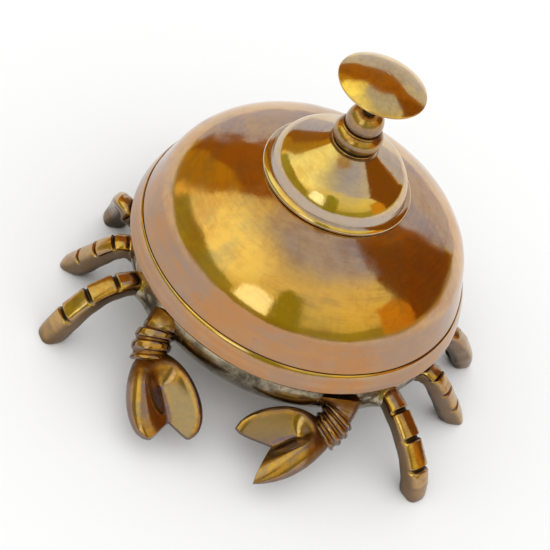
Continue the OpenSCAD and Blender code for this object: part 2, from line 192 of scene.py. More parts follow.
def sweep(rings, forked=False):
    """Joins rings of points with quads and closes both ends.

    A forked end folds its ring flat, upper half against lower, so that a notch stays open."""
    size = len(rings[0])
    points = [p for ring in rings for p in ring]
    faces = []
    for i in range(len(rings) - 1):
        for j in range(size):
            k = (j + 1) % size
            faces.append([i * size + j, i * size + k, (i + 1) * size + k, (i + 1) * size + j])
    faces.append(list(range(size - 1, -1, -1)))
    end = (len(rings) - 1) * size
    if forked:
        far = end + size - 1
        faces += [[end + j, end + j + 1, far - 1 - j, far - j] for j in range(size // 2 - 1)]
    else:
        faces.append([end + j for j in range(size)])
    return points, faces


def box_ring(width, height, count):
    """Outline of a rounded box, from its right-hand side round by the top."""
    power = 0.7
    ring = []
    for k in range(count):
        a = 2 * math.pi * (k + 0.5) / count
        x = math.copysign(abs(math.cos(a)) ** power, math.cos(a))
        z = math.copysign(abs(math.sin(a)) ** power, math.sin(a))
        ring.append((width / 2 * x, height / 2 * z))
    return ring


# ---- materials ----


class Nodes:
    """Short way to write a node tree."""

    def __init__(self, name):
        self.material = bpy.data.materials.new(name)
        self.material.use_nodes = True
        self.tree = self.material.node_tree
        self.shader = self.tree.nodes["Principled BSDF"]

    def add(self, kind, inputs=None, **settings):
        """A new node with its settings, and its inputs linked or set, by name or number."""
        node = self.tree.nodes.new("ShaderNode" + kind)
        for key, value in settings.items():
            setattr(node, key, value)
        for key, value in (inputs or {}).items():
            self.link(value, node.inputs[key])
        return node

    def link(self, value, socket):
        """Feeds a socket from another node's output, or sets it to a plain value."""
        if isinstance(value, bpy.types.NodeSocket):
            self.tree.links.new(value, socket)
        else:
            socket.default_value = value

    def math(self, kind, a, b=0.0, c=0.0):
        """Arithmetic on one to three values."""
        node = self.add("Math", {0: a, 1: b, 2: c}, operation=kind)
        return node.outputs[0]

    def mix(self, factor, a, b):
        """Colour a where factor is 0, and colour b where it is 1."""
        node = self.add("Mix", data_type="RGBA")
        self.link(factor, node.inputs[0])
        self.link(a, node.inputs[6])
        self.link(b, node.inputs[7])
        return node.outputs[2]

    def ramp(self, value, low, high):
        """0 below low, 1 above high, smooth between."""
        node = self.add("MapRange", {0: value, 1: low, 2: high}, interpolation_type="SMOOTHSTEP")
        return node.outputs[0]

    def noise(self, vector, scale, detail=3.0, rough=0.5, warp=0.0):
        """A cloudy pattern from 0 to 1. Scale is about its patches in one unit of the vector."""
        node = self.add("TexNoise", {"Vector": vector, "Scale": scale, "Detail": detail,
                                     "Roughness": rough, "Distortion": warp})
        return node.outputs[0]

    def blend(self, broad, fine, streak):
        """Mostly the broad pattern, broken up by the two finer ones."""
        small = self.math("ADD", self.math("MULTIPLY", fine, 0.15), self.math("MULTIPLY", streak, 0.25))
        return self.math("ADD", self.math("MULTIPLY", broad, 0.6), small)

    def place(self):
        """Position about the bell's axis, in metres."""
        where = self.add("TexCoord").outputs["Object"]
        shift = (-axis_x * MM, -axis_y * MM, 0)
        return self.add("Mapping", {"Vector": where, "Location": shift}).outputs[0]

    def turned(self, where, around, across):
        """Coordinates stretched round the axis, for marks left by a lathe: (cos, sin, profile)."""
        split = self.add("SeparateXYZ", {0: where}).outputs
        radius = self.math("SQRT", self.math("ADD", self.math("MULTIPLY", split[0], split[0]),
                                             self.math("MULTIPLY", split[1], split[1])))
        safe = self.math("MAXIMUM", radius, 0.0002)
        run = self.math("SUBTRACT", radius, split[2])
        return self.add("CombineXYZ", {
            0: self.math("MULTIPLY", self.math("DIVIDE", split[0], safe), around),
            1: self.math("MULTIPLY", self.math("DIVIDE", split[1], safe), around),
            2: self.math("MULTIPLY", run, across)}).outputs[0]

    def scratches(self, where, turn, scale):
        """Thin straight rub marks in one direction, 0 to 1."""
        tilt = self.add("Mapping", {"Vector": where, "Rotation": turn,
                                    "Scale": (scale, scale * 0.05, scale * 0.3)}).outputs[0]
        return self.ramp(self.noise(tilt, 1.0, 2.0, 0.6), 0.6, 0.72)


def brass(name, clean, grey, copper, rough, marks, patch, turned=True, bump=0.25, steep_painted_tint=None,
          grime_shade_colour=(0.05, 0.036, 0.024)):
    """Old brass: clean metal clouded by a grey and a coppery patina, with dirt and painted shade in its
    crevices.

    A piece's point attribute is 1 in a crevice dark with dirt and painted shade, and -1 on a face painted
    grey all over.

    Rough is the roughness of clean and clouded metal, marks the strength of rub marks and patch
    the size of a patch of patina in mm. The tuple after bump paints shade and a reflection's tint onto
    faces near upright: two colours, how far up a face must lean to lose them, and their strength."""
    n = Nodes(name)
    where = n.place()
    broad = n.noise(where, 1 / (patch * MM), 4.0, 0.62, 0.8)
    cloud = n.noise(n.add("Mapping", {"Vector": where, "Location": (0.31, 0.17, 0.05)}).outputs[0],
                    0.7 / (patch * MM), 5.0, 0.6, 0.5)
    fine = n.noise(where, 6 / (patch * MM), 5.0, 0.65, 0.3)
    specks = n.ramp(n.noise(where, 900.0, 3.0, 0.6), 0.64, 0.78)
    rub = n.scratches(where, (0.3, 0.2, 0.6), 2600.0)
    rub2 = n.scratches(where, (0.5, -0.3, -0.8), 2100.0)
    lines = n.math("MAXIMUM", rub, n.math("MULTIPLY", rub2, 0.7))
    streak = fine
    if turned:
        grain = n.noise(n.turned(where, 2.2, 5200.0), 1.0, 3.0, 0.6)
        streak = n.noise(n.turned(where, 2.6, 520.0), 1.0, 5.0, 0.7)
        lines = n.math("ADD", n.math("MULTIPLY", lines, 0.5), n.math("MULTIPLY", grain, 0.6))
    greyed = n.ramp(n.blend(broad, fine, streak), 0.42, 0.62)
    coppered = n.ramp(n.blend(cloud, streak, fine), 0.46, 0.64)
    colour = n.mix(n.math("MULTIPLY", greyed, 0.8), (*clean, 1), (*grey, 1))
    colour = n.mix(n.math("MULTIPLY", coppered, 0.7), colour, (*copper, 1))
    depth = n.add("Attribute", attribute_name="grime_and_shade_amount").outputs["Fac"]
    # Below 0 the point attribute paints the face grey: a painted pale reflection on the pincers' scoops.
    colour = n.mix(n.ramp(depth, -0.05, -1.0), colour, (*grey, 1))
    # Painted shade and painted reflection tint: faces near upright take two darker, greyer colours in place
    # of the metal's own. These stand for the limbs' shaded sides and for the pale floor seen in the bell's
    # walls.
    if steep_painted_tint:
        painted_side_a, painted_side_b, leans, strength = steep_painted_tint
        lean = n.add("SeparateXYZ", {0: n.add("NewGeometry").outputs["Normal"]}).outputs[2]
        ragged = n.math("MULTIPLY", n.math("SUBTRACT", broad, 0.5), 0.3)
        painted_side_mask = n.ramp(n.math("ADD", lean, ragged), *leans)
        mottle = n.ramp(n.blend(cloud, cloud, streak), 0.4, 0.6)
        painted_side_colour = n.mix(mottle, (*painted_side_a, 1), (*painted_side_b, 1))
        colour = n.mix(n.math("MULTIPLY", painted_side_mask, strength), colour, painted_side_colour)
    colour = n.mix(n.math("MULTIPLY", specks, 0.3), colour, (0.08, 0.05, 0.03, 1))
    rough_now = n.math("ADD", n.math("MULTIPLY", greyed, rough[1] - rough[0]), rough[0])
    rough_now = n.math("ADD", rough_now, n.math("MULTIPLY", lines, 0.05 * marks))
    # Dirt and painted shade: each point's amount darkens the colour towards the dirt colour and makes it
    # rougher.
    uneven = n.math("ADD", depth, n.math("MULTIPLY", n.math("SUBTRACT", fine, 0.5), 0.5))
    grime_and_shade = n.ramp(uneven, 0.1, 0.95)
    colour = n.mix(grime_and_shade, colour, (*grime_shade_colour, 1))
    rough_now = n.math("ADD", rough_now, n.math("MULTIPLY", grime_and_shade, 0.25))
    height = n.math("ADD", n.math("MULTIPLY", lines, 0.35 * marks), n.math("MULTIPLY", fine, 0.9))
    ridges = n.add("Bump", {"Height": height, "Strength": bump, "Distance": 0.00008}).outputs[0]
    n.link(colour, n.shader.inputs["Base Color"])
    n.link(rough_now, n.shader.inputs["Roughness"])
    n.link(ridges, n.shader.inputs["Normal"])
    n.shader.inputs["Metallic"].default_value = 1.0
    return n.material


def cast_brass(name, tint, dark, rough):
    """Satin casting with a dark uneven skin and rubbed high places."""
    n = Nodes(name)
    where = n.place()
    blotch = n.noise(where, 120.0, 5.0, 0.62, 0.5)
    grain = n.noise(where, 1500.0, 3.0, 0.6)
    pits = n.ramp(n.noise(where, 520.0, 2.0, 0.5), 0.36, 0.3)
    skin = n.ramp(n.math("ADD", n.math("MULTIPLY", blotch, 0.8), n.math("MULTIPLY", grain, 0.2)), 0.3, 0.68)
    colour = n.mix(skin, (*dark, 1), (*tint, 1))
    colour = n.mix(n.math("MULTIPLY", pits, 0.3), colour, (*[c * 0.35 for c in dark], 1))
    lumps = n.math("ADD", n.math("MULTIPLY", grain, 0.5), n.math("MULTIPLY", blotch, 1.2))
    height = n.math("SUBTRACT", lumps, n.math("MULTIPLY", pits, 0.8))
    ridges = n.add("Bump", {"Height": height, "Strength": 0.3, "Distance": 0.00012}).outputs[0]
    n.link(colour, n.shader.inputs["Base Color"])
    n.link(n.math("ADD", n.math("MULTIPLY", skin, -0.12), rough), n.shader.inputs["Roughness"])
    n.link(ridges, n.shader.inputs["Normal"])
    n.shader.inputs["Metallic"].default_value = 1.0
    return n.material


def steel(name, tint, rough):
    """Brushed steel with a little oil stain."""
    n = Nodes(name)
    where = n.place()
    brushed = n.add("Mapping", {"Vector": where, "Scale": (300.0, 4000.0, 4000.0)}).outputs[0]
    grain = n.noise(brushed, 1.0, 3.0, 0.6)
    stain = n.ramp(n.noise(where, 160.0, 4.0, 0.6), 0.42, 0.68)
    colour = n.mix(n.math("MULTIPLY", stain, 0.6), (*tint, 1), (*[c * 0.5 for c in tint], 1))
    ridges = n.add("Bump", {"Height": grain, "Strength": 0.25, "Distance": 0.00005}).outputs[0]
    n.link(colour, n.shader.inputs["Base Color"])
    n.link(n.math("ADD", n.math("MULTIPLY", stain, 0.2), rough), n.shader.inputs["Roughness"])
    n.link(ridges, n.shader.inputs["Normal"])
    n.shader.inputs["Metallic"].default_value = 1.0
    return n.material


def fibre(name):
    """Vulcanised fibre: a dull red-brown sheet with a faint mottle."""
    n = Nodes(name)
    where = n.place()
    stretched = n.add("Mapping", {"Vector": where, "Scale": (900.0, 300.0, 2500.0)}).outputs[0]
    threads = n.noise(stretched, 1.0, 4.0, 0.7)
    colour = n.mix(threads, (0.16, 0.035, 0.022, 1), (0.3, 0.085, 0.05, 1))
    ridges = n.add("Bump", {"Height": threads, "Strength": 0.4, "Distance": 0.00006}).outputs[0]
    n.link(colour, n.shader.inputs["Base Color"])
    n.link(n.math("ADD", n.math("MULTIPLY", threads, 0.2), 0.6), n.shader.inputs["Roughness"])
    n.link(ridges, n.shader.inputs["Normal"])
    return n.material


spun = brass(
    "spun_brass", clean=(0.62, 0.38, 0.17), grey=(0.38, 0.28, 0.22), copper=(0.48, 0.22, 0.08),
    rough=(0.07, 0.15), marks=1.0, patch=20,
    steep_painted_tint=((0.45, 0.205, 0.08), (0.32, 0.235, 0.185), (0.5, 0.3), 0.85))
cap_brass = brass(
    "cap_brass", clean=(0.66, 0.47, 0.25), grey=(0.5, 0.4, 0.3), copper=(0.52, 0.3, 0.12),
    rough=(0.06, 0.13), marks=1.0, patch=14,
    steep_painted_tint=((0.4, 0.36, 0.34), (0.46, 0.38, 0.32), (0.45, 0.3), 0.7))
knob_brass = brass(
    "knob_brass", clean=(0.74, 0.5, 0.17), grey=(0.52, 0.38, 0.2), copper=(0.5, 0.28, 0.08),
    rough=(0.08, 0.16), marks=1.2, patch=8)
turned_brass = brass(
    "turned_brass", clean=(0.5, 0.3, 0.12), grey=(0.28, 0.2, 0.14), copper=(0.28, 0.13, 0.04),
    rough=(0.15, 0.26), marks=1.2, patch=5,
    steep_painted_tint=((0.3, 0.19, 0.08), (0.24, 0.18, 0.15), (0.45, 0.1), 0.7))
limb_brass = brass(
    "limb_brass", clean=(0.54, 0.34, 0.14), grey=(0.34, 0.25, 0.18), copper=(0.38, 0.18, 0.05),
    rough=(0.13, 0.22), marks=0.5, patch=11, turned=False, bump=0.12,
    steep_painted_tint=((0.16, 0.1, 0.05), (0.2, 0.14, 0.1), (0.5, 0.05), 0.9))
claw_brass = brass(
    "claw_brass", clean=(0.42, 0.24, 0.1), grey=(0.22, 0.17, 0.21), copper=(0.34, 0.15, 0.04),
    rough=(0.13, 0.2), marks=0.5, patch=9, turned=False, bump=0.12,
    steep_painted_tint=((0.17, 0.105, 0.07), (0.21, 0.17, 0.16), (0.6, 0.1), 0.9),
    grime_shade_colour=(0.16, 0.06, 0.008))
shell_brass = cast_brass("shell_brass", (0.52, 0.44, 0.31), (0.06, 0.05, 0.034), 0.27)
plain_steel = steel("plain_steel", (0.5, 0.5, 0.52), 0.3)
dark_steel = steel("dark_steel", (0.16, 0.14, 0.12), 0.32)
fibre_sheet = fibre("fibre_sheet")

# ---- bell ----

dome_cx = 2
dome_cz = lip_z + 7.9
wall_r = lip_r - 4
dome_a = wall_r - dome_cx
dome_rise = dome_top - dome_cz + 0.25
wall_angle = 10.7
sheet_t = 1.3
land_r = 8
bore_r = 4.02
groove_z = lip_z + 4.6


def bell_dome():
    """Elliptical dome from a flat land at the top to a straight wall, a groove and the lip's band."""
    land_out = math.degrees(math.acos((land_r - dome_cx) / dome_a))
    land_in = math.degrees(math.acos((land_r - dome_cx) / (dome_a - sheet_t)))
    rise_in = dome_rise - sheet_t
    under = dome_cz + rise_in * math.sin(math.radians(land_in))
    outside = arc(dome_cx, dome_cz, dome_a, dome_rise, land_out, wall_angle, 100)
    leave = Vector(outside[-1])
    foot = Vector((wall_r + 1.82, groove_z + 0.22))
    wall = [tuple(leave.lerp(foot, k / 20)) for k in range(21)]
    # Painted shade: the groove's points carry a dark amount that draws the groove's shadow line.
    groove = [(wall_r + 1.84, groove_z + 0.1, 0.6), (wall_r + 1.7, groove_z - 0.08, 1)]
    groove += [(wall_r + 1.78, groove_z - 0.2, 1), (wall_r + 2.02, groove_z - 0.12, 0.5)]
    band = spline([(lip_r - 1.92, groove_z - 0.16), (lip_r - 1.6, lip_z + 4.08),
                   (lip_r - 1.17, lip_z + 3.1), (lip_r - 0.75, lip_z + 1.9),
                   (lip_r - 0.32, lip_z + 0.7), (lip_r - 0.04, lip_z - 0.35)], 7)
    bottom = arc(lip_r - 1.2, lip_z - 0.45, 1.2, 0.85, -8, -90, 10)
    lip_inside = [(lip_r - 2.6, dome_low.z), (lip_r - 3.1, lip_z - 0.9), (lip_r - 3.1, groove_z - 1.4)]
    inside = arc(dome_cx, dome_cz, dome_a - sheet_t, rise_in, wall_angle, land_in, 60)
    profile = [(bore_r, dome_top), (land_r - 0.4, dome_top)] + outside[:-1]
    profile += wall + groove + band + bottom + lip_inside + inside + [(bore_r, under)]
    points, faces, grime_shade = lathe(profile, 256, rough=0.09)
    put("dome_skin", points, faces, ["bell_dome"], "base", spun, sharp=38, grime_shade=grime_shade)


crown_r = (cap_high.x - cap_low.x) / 2
neck_r = 6.2


def crown_cap():
    """Spun cap: a flat neck, a slope down to a wide round shoulder, and a fat rolled edge."""
    bead_r = 0.75
    bead_c = crown_r - bead_r
    bead_z = cap_low.z + bead_r
    shoulder = (crown_r - 9.7, neck_z - 11.3)
    # The third numbers: painted shadow where the collar stands on the neck, a darker crease before the
    # bead, and painted shadow in the gap under and inside the bead.
    outer = [(bore_r, neck_z), (neck_r - 0.25, neck_z), (neck_r + 0.1, neck_z - 0.06, 0.7)]
    outer += [(neck_r + 0.3, neck_z - 0.2, 0.3)]
    outer += [(neck_r + 1.6, neck_z - 0.95), (neck_r + 4.2, neck_z - 2.35)]
    outer += arc(*shoulder, 8, 8, 60, 12, 40)
    outer += [(crown_r - 1.66, bead_z + 1.9, 0.15), (crown_r - 1.6, bead_z + 1.55, 0.3)]
    outer += arc(crown_r - 2.6, bead_z, 2.6, 1.45, 66, 0, 30)
    outer += arc(bead_c, bead_z, bead_r, bead_r, -8, -50, 8)
    outer += [(bead_c + 0.3, bead_z - 0.7, 1), (bead_c, bead_z - bead_r, 1)]
    inner = [(bead_c - 0.1, bead_z - 0.72, 1), (bead_c - 0.9, bead_z - 0.2), (bead_c - 1.6, bead_z + 0.6)]
    inner += arc(*shoulder, 7, 7, 12, 60, 16)
    inner += [(neck_r - 0.3, neck_z - 1), (bore_r, neck_z - 1)]
    points, faces, grime_shade = lathe(outer + inner, 224, rough=0.05)
    put("crown_cap_skin", points, faces, ["crown_cap"], "base", cap_brass,
        sharp=40, grime_shade=grime_shade)


def finial_collar():
    """Turned collar: a thin bead, a waist, a low ball, a ring and a tall dome, bored for the spring."""
    top = corners("finial_collar")[1].z
    rod_bore_r = 1.85
    roof_t = 1.6
    spring_bore_r = 3.6
    chamber_depth = 10
    # The third numbers darken the foot, the waist, the ring and the bore's mouth with dirt and painted
    # shade.
    outer = [(bore_r, neck_z + 0.02, 1), (5.75, neck_z + 0.02, 0.8)]
    outer += arc(5.68, neck_z + 0.24, 0.22, 0.22, -70, 90, 8)
    outer += [(5.3, neck_z + 0.5, 1), (5.2, neck_z + 0.75, 1), (5.42, neck_z + 0.95, 0.8)]
    outer += arc(3.3, neck_z + 2.9, 3.05, 2.85, -40, 50, 30)
    outer += [(5.08, neck_z + 5.2, 0.4), (5.14, neck_z + 5.38), (5.16, neck_z + 5.56), (5.06, neck_z + 5.7)]
    outer += [(4.86, neck_z + 5.76, 0.6), (4.52, neck_z + 5.84, 1), (4.55, neck_z + 5.98, 0.9)]
    outer += arc(rod_bore_r, neck_z + 7.1, 2.9, 4.05, -14, 82, 40)
    inner = [(rod_bore_r, top - 0.1, 0.8), (rod_bore_r, top - roof_t), (spring_bore_r, top - roof_t)]
    inner += [(spring_bore_r, top - chamber_depth), (bore_r, top - chamber_depth)]
    points, faces, grime_shade = lathe(outer + inner, 192, rough=0.03)
    put("collar_skin", points, faces, ["finial_collar"], "base", turned_brass,
        sharp=40, grime_shade=grime_shade)


def knob():
    """Lens-shaped push button: two shallow spherical faces, a rounded rim and a socket for the rod."""
    cap_h = 3.5
    under_h = 2.6
    hub_r = 2.8
    rod_r = 1.82
    rim_half = 0.25
    rim_inset = 0.12
    edge_z = knob_high.z - cap_h
    socket_z = knob_high.z - cap_h - 0.28
    ball_up = (knob_r ** 2 + cap_h ** 2) / (2 * cap_h)
    ball_down = (knob_r ** 2 + under_h ** 2) / (2 * under_h)
    up_edge = math.degrees(math.asin((knob_r - rim_inset) / ball_up))
    down_edge = math.degrees(math.asin((knob_r - rim_inset) / ball_down))
    hub_edge = math.degrees(math.asin(hub_r / ball_down))
    under_z = edge_z - 2 * rim_half - under_h + ball_down
    # Painted shade: the hub under the knob and the socket take the full dark amount.
    profile = [(rod_r, knob_low.z, 1), (hub_r - 0.25, knob_low.z, 1), (hub_r, knob_low.z + 0.25, 0.9)]
    profile += arc(0, under_z, ball_down, ball_down, hub_edge - 90, down_edge - 90, 30)
    profile += arc(knob_r - rim_half, edge_z - rim_half, rim_half, rim_half, -60, 60, 6)
    profile += arc(0, edge_z + cap_h - ball_up, ball_up, ball_up, 90 - up_edge, 90, 44)
    profile[-1] = (0, knob_high.z)
    profile += [(0, socket_z), (rod_r, socket_z)]
    points, faces, grime_shade = lathe(profile, 192, rough=0.03)
    put("knob_skin", points, faces, ["knob"], "plunger", knob_brass, sharp=40, grime_shade=grime_shade)


# ---- plunger ----


def plunger_rod():
    """Straight rod with a round lower end and a groove for its clip."""
    low, high = corners("plunger_rod")
    clip_low, clip_high = corners("plunger_clip")
    radius = (high.x - low.x) / 2
    groove_r = radius - 0.4
    slack = 0.02
    chamfer = 0.3
    profile = arc(0, low.z + radius, radius, radius, -90, 0, 14)
    profile[0] = (0, low.z)
    profile += [(radius, clip_low.z - slack), (groove_r, clip_low.z - slack)]
    profile += [(groove_r, clip_high.z + slack), (radius, clip_high.z + slack)]
    profile += [(radius, high.z - chamfer), (radius - chamfer, high.z), (0, high.z)]
    points, faces, _ = lathe(profile, 64)
    put("rod_skin", points, faces, ["plunger_rod"], "plunger", dark_steel)


def round_section(centre, out, a, b, count):
    """An upright ellipse about centre, a wide along out and b high."""
    up = Vector((0, 0, 1))
    turns = [2 * math.pi * k / count for k in range(count)]
    return [centre + out * a * math.cos(t) + up * b * math.sin(t) for t in turns]


def plunger_spring():
    """Coil spring that the press shortens, swept once at its rest length."""
    wire_r = 0.3
    coil_r = (spring_high.x - spring_low.x) / 2 - wire_r
    coils = 4.5
    per_turn = 28
    steps = int(coils * per_turn)
    length = spring_high.z - spring_low.z
    climb = length - 2 * wire_r
    rings = []
    for i in range(steps + 1):
        angle = 2 * math.pi * i / per_turn
        out = Vector((math.cos(angle), math.sin(angle), 0))
        centre = out * coil_r + Vector((0, 0, spring_low.z + wire_r + climb * i / steps))
        rings.append(round_section(centre, out, wire_r, wire_r, 12))
    points, faces = sweep(rings)
    spring = put("spring_skin", points, faces, ["plunger_spring"], "base", plain_steel)
    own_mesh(spring)


# ---- crab ----

shell_r = lip_r - lip_roll
rim_z = shell_high.z
floor_z = 11.2
bulge_z = 18.2
belly_z = shell_low.z
root_r = 45
leg_w = 5.6
leg_h = 5.4
wrist_r = 4.9
heel_half = 4.2

# Each leg: angle of its root from the front, height of the root, two shaping points, foot.
LEGS = {
    "leg_front_left": (-53.5, 17, (-44.5, -33, 18.5), (-48, -38.5, 11), (-51.5, -39, 0)),
    "leg_front_right": (48.5, 17, (39, -34.5, 16), (47.5, -42, 10.5), (49.5, -42, 0)),
    "leg_middle_left": (-70, 16, (-46, -17, 17.5), (-50.5, -16, 5.5), (-54.5, -14, 0)),
    "leg_middle_right": (69, 16, (45, -17, 18), (52, -14, 4.5), (56, -12, 0)),
    "leg_rear_left": (-86.5, 15, (-50.5, -3, 18.5), (-46.5, 8, 10), (-49.5, 7.5, 0)),
    "leg_rear_right": (91.5, 15.5, (48, 1.5, 14.5), (54, 7, 6), (54.5, 8.5, 0)),
    "leg_back_left": (-146, 15.5, (-28.5, 42.5, 18), (-31.5, 46.5, 10), (-31.5, 46.5, 0)),
    "leg_back_right": (146, 15.5, (28.5, 42.5, 18), (31.5, 46.5, 10), (31.5, 46.5, 0)),
}
# Where along a leg its notches are, as a part of its length.
NOTCHES = (0.2, 0.46, 0.72)

# Each claw: its side, the arm's path with its grooves as parts of it, the pincer's angles in degrees,
# then the edges of the outer and inner finger, along and across from the wrist, how far out the notch
# between them starts, how round the two fingertips are, and where the outer finger's ridge runs.
CLAWS = {
    "left": {
        "side": -1,
        "path": [(-26.2, -36.9, 14.9), (-27.7, -39, 14.2), (-25.9, -43.5, 10.7)],
        "grooves": (0.04, 0.48, 0.84),
        "heading": 37, "pitch": 9, "roll": 10,
        "outer": ((1.1, 5.7), (13.1, 12.5), (20.7, 7.4)),
        "inner": ((0.3, 7.5), (19.2, 13.4), (23.2, 3.8)),
        "notch": 17.2, "outer_round": 0.8, "inner_round": 0.45, "crest": 0.5,
    },
    "right": {
        "side": 1,
        "path": [(22.4, -39.75, 15.7), (23.7, -41.9, 13.8), (20.6, -45, 10.9)],
        "grooves": (0.02, 0.32, 0.6, 0.86),
        "heading": 54, "pitch": 9, "roll": 12,
        "outer": ((5.4, 7.4), (12, 10.2), (21, 8)),
        "inner": ((2, 8.7), (14.8, 12.3), (21.1, 6.7)),
        "notch": 13.1, "outer_round": 0.1, "inner_round": 0.35, "crest": 0.34,
    },
}


def leg_frame(spec, t):
    """Middle, sideways and upward directions of a leg's section."""
    angle, root_z, near, far, foot = spec
    out = Vector((math.sin(math.radians(angle)), -math.cos(math.radians(angle)), 0))
    root = out * root_r + Vector((0, 0, root_z))
    away = Vector(foot) - root
    away.z = 0
    away /= (Vector(foot) - root).length
    curve = [root, near, far, foot]
    heading = out * (1 - t) + away * t
    across = Vector((-heading.y, heading.x, 0)).normalized()
    along = bezier(curve, min(1, t + 0.01)) - bezier(curve, max(0, t - 0.01))
    if t == 0:
        along = out
    if t == 1:
        along = Vector((0, 0, -1))
    return bezier(curve, t), across, along.cross(across).normalized()


def leg_section(spec, t, tilt):
    """Points of a leg's outline and their dirt and painted shade, with its notch cut on the side that tilt
    leans to.
    """
    notch_half = 0.026
    notch_deep = 0.95
    per_ring = 40
    cut = smooth(0, 0.8, max(1 - abs(t - c) / notch_half for c in NOTCHES))
    swell = 1 + 0.03 * sum(smooth(0.12, 0, abs(c - t)) for c in NOTCHES)
    grow = (1 + 0.2 * t) * swell
    middle, across, up = leg_frame(spec, t)
    ring = []
    grime_shade = []
    for x, z in box_ring(leg_w * grow, leg_h * grow, per_ring):
        lean = (z * math.cos(tilt) + x * math.sin(tilt)) / leg_h
        top = cut * smooth(-0.2, 0.42, lean)
        ring.append(middle + across * x * (1 - 0.1 * top) + up * (z - notch_deep * top))
        # The notch is filled with dark patina; the underside takes painted shade.
        grime_shade.append(min(1, 1.1 * top + 0.7 * smooth(0.1, -0.45, z / leg_h)))
    return ring, grime_shade


def leg(name, spec):
    """A leg from a flared root inside the body, by three notches, to a flat sole.

    Past the bend its sections run straight to the sole, so that the foot doesn't twist."""
    count = 150
    bend = 0.86
    side = math.copysign(1, spec[0])
    tilt = side * (2.0 if "rear" in name or "back" in name else 0.55)
    last, last_grime_shade = leg_section(spec, bend, tilt)
    sole, sole_grime_shade = leg_section(spec, 1, tilt)
    first, first_grime_shade = leg_section(spec, 0, tilt)
    root = leg_frame(spec, 0)[0]
    ankle = leg_frame(spec, bend)[0]
    foot = leg_frame(spec, 1)[0]
    inward = Vector((-root.x, -root.y, 0)).normalized()
    rings = []
    grime_shade = []
    # Painted shade: the root grows darker the deeper it runs into the body.
    for depth, grow in ((2.9, 1.5), (1.9, 1.34), (1.2, 1.2), (0.7, 1.1), (0.3, 1.03)):
        rings.append([root + inward * depth + (p - root) * grow for p in first])
        grime_shade += [min(1, w + 0.25 * depth) for w in first_grime_shade]
    for i in range(count + 1):
        t = i / count
        ring, grime_shade_here = leg_section(spec, min(t, bend), tilt)
        if t > bend:
            part = (t - bend) / (1 - bend)
            heart = ankle.lerp(foot, part)
            taper = 1 - 0.1 * part ** 5
            ring = [heart + (a.lerp(b, part) - heart) * taper for a, b in zip(last, sole)]
            grime_shade_here = [a + (b - a) * part for a, b in zip(last_grime_shade, sole_grime_shade)]
        rings.append(ring)
        grime_shade += grime_shade_here
    points, faces = sweep(rings)
    points = [p + Vector((p.x, p.y, 0)).normalized() * 0.06 * noise.noise(p * 0.5) for p in points]
    put(name + "_casting", points, faces, [name], "base", limb_brass, sharp=40, grime_shade=grime_shade)


def claw_arm(key):
    """A smooth neck out of the body, then rings with shallow grooves between them.

    The neck is the stretch where t is below 0: it runs straight back into the body."""
    path = CLAWS[key]["path"]
    grooves = CLAWS[key]["grooves"]
    start, middle, wrist = (Vector(p) for p in path)
    back = (start - middle).normalized()
    hand = (wrist - middle).normalized()
    count = 130
    neck_count = 30
    arm_length = 14
    per_ring = 56
    turns = [2 * math.pi * k / per_ring for k in range(per_ring)]
    rings = []
    grime_shade = []
    for i in range(-neck_count, count + 1):
        t = i / count
        centre = bezier(path, max(0, t)) - back * min(0, t) * arm_length
        along = (bezier(path, min(1, abs(t) + 0.01)) - bezier(path, max(0, t - 0.01))).normalized()
        along = along.lerp(hand, 0.7 * smooth(-0.22, 0.05, t)).normalized()
        across = along.cross(Vector((0, 0, 1))).normalized()
        up = across.cross(along)
        near = min(abs(t - g) for g in grooves)
        dip = smooth(0.085, 0.015, near)
        radius = wrist_r - 0.15 - 0.42 * dip + 0.25 * smooth(0.04, 0.14, near)
        radius += 1.1 * smooth(-0.06, -0.22, t) - 0.35 * smooth(0.96, 1, t)
        rings.append([centre + across * radius * math.cos(a) + up * radius * math.sin(a) * 0.97
                      for a in turns])
        # Darker in the grooves; painted shade where the arm runs back into the body and along its
        # underside.
        groove_dark_root_shade = 0.6 * dip + 0.8 * smooth(0.02, -0.16, t)
        grime_shade += [min(1, groove_dark_root_shade + 0.35 * smooth(0.1, -0.7, math.sin(a))) for a in turns]
    points, faces = sweep(rings)
    node = "claw_arm_" + key
    put(node + "_casting", points, faces, [node], "base", claw_brass, sharp=45, grime_shade=grime_shade)


def finger_height(t, ridge, rim):
    """Height of the pincer's top, as a part of its thickness.

    Across the pincer t runs from -1 at the inner finger's edge, by 0 in the valley between the
    fingers, to 1 at the outer finger's edge."""
    valley = 0.1
    rim_top = 0.96
    if t >= ridge:
        x = (t - ridge) / (1 - ridge)
        return (1 - x ** 2.2) ** 0.7
    if t >= 0:
        return valley + (1 - valley) * (1 - (1 - t / ridge) ** 1.9)
    if t >= -rim:
        return valley + (rim_top - valley) * (-t / rim) ** 1.6
    x = (-t - rim) / (1 - rim)
    return rim_top * math.sqrt(max(0, 1 - x * x))


def finger_smooth(t, ridge, rim):
    """The same height with its ridges rounded off, except near the edges."""
    steps = [min(1, max(-1, t + 0.04 * k)) for k in range(-3, 4)]
    rounded = sum(finger_height(x, ridge, rim) for x in steps) / len(steps)
    near = 1 - smooth(0.75, 0.97, abs(t))
    return near * rounded + (1 - near) * finger_height(t, ridge, rim)


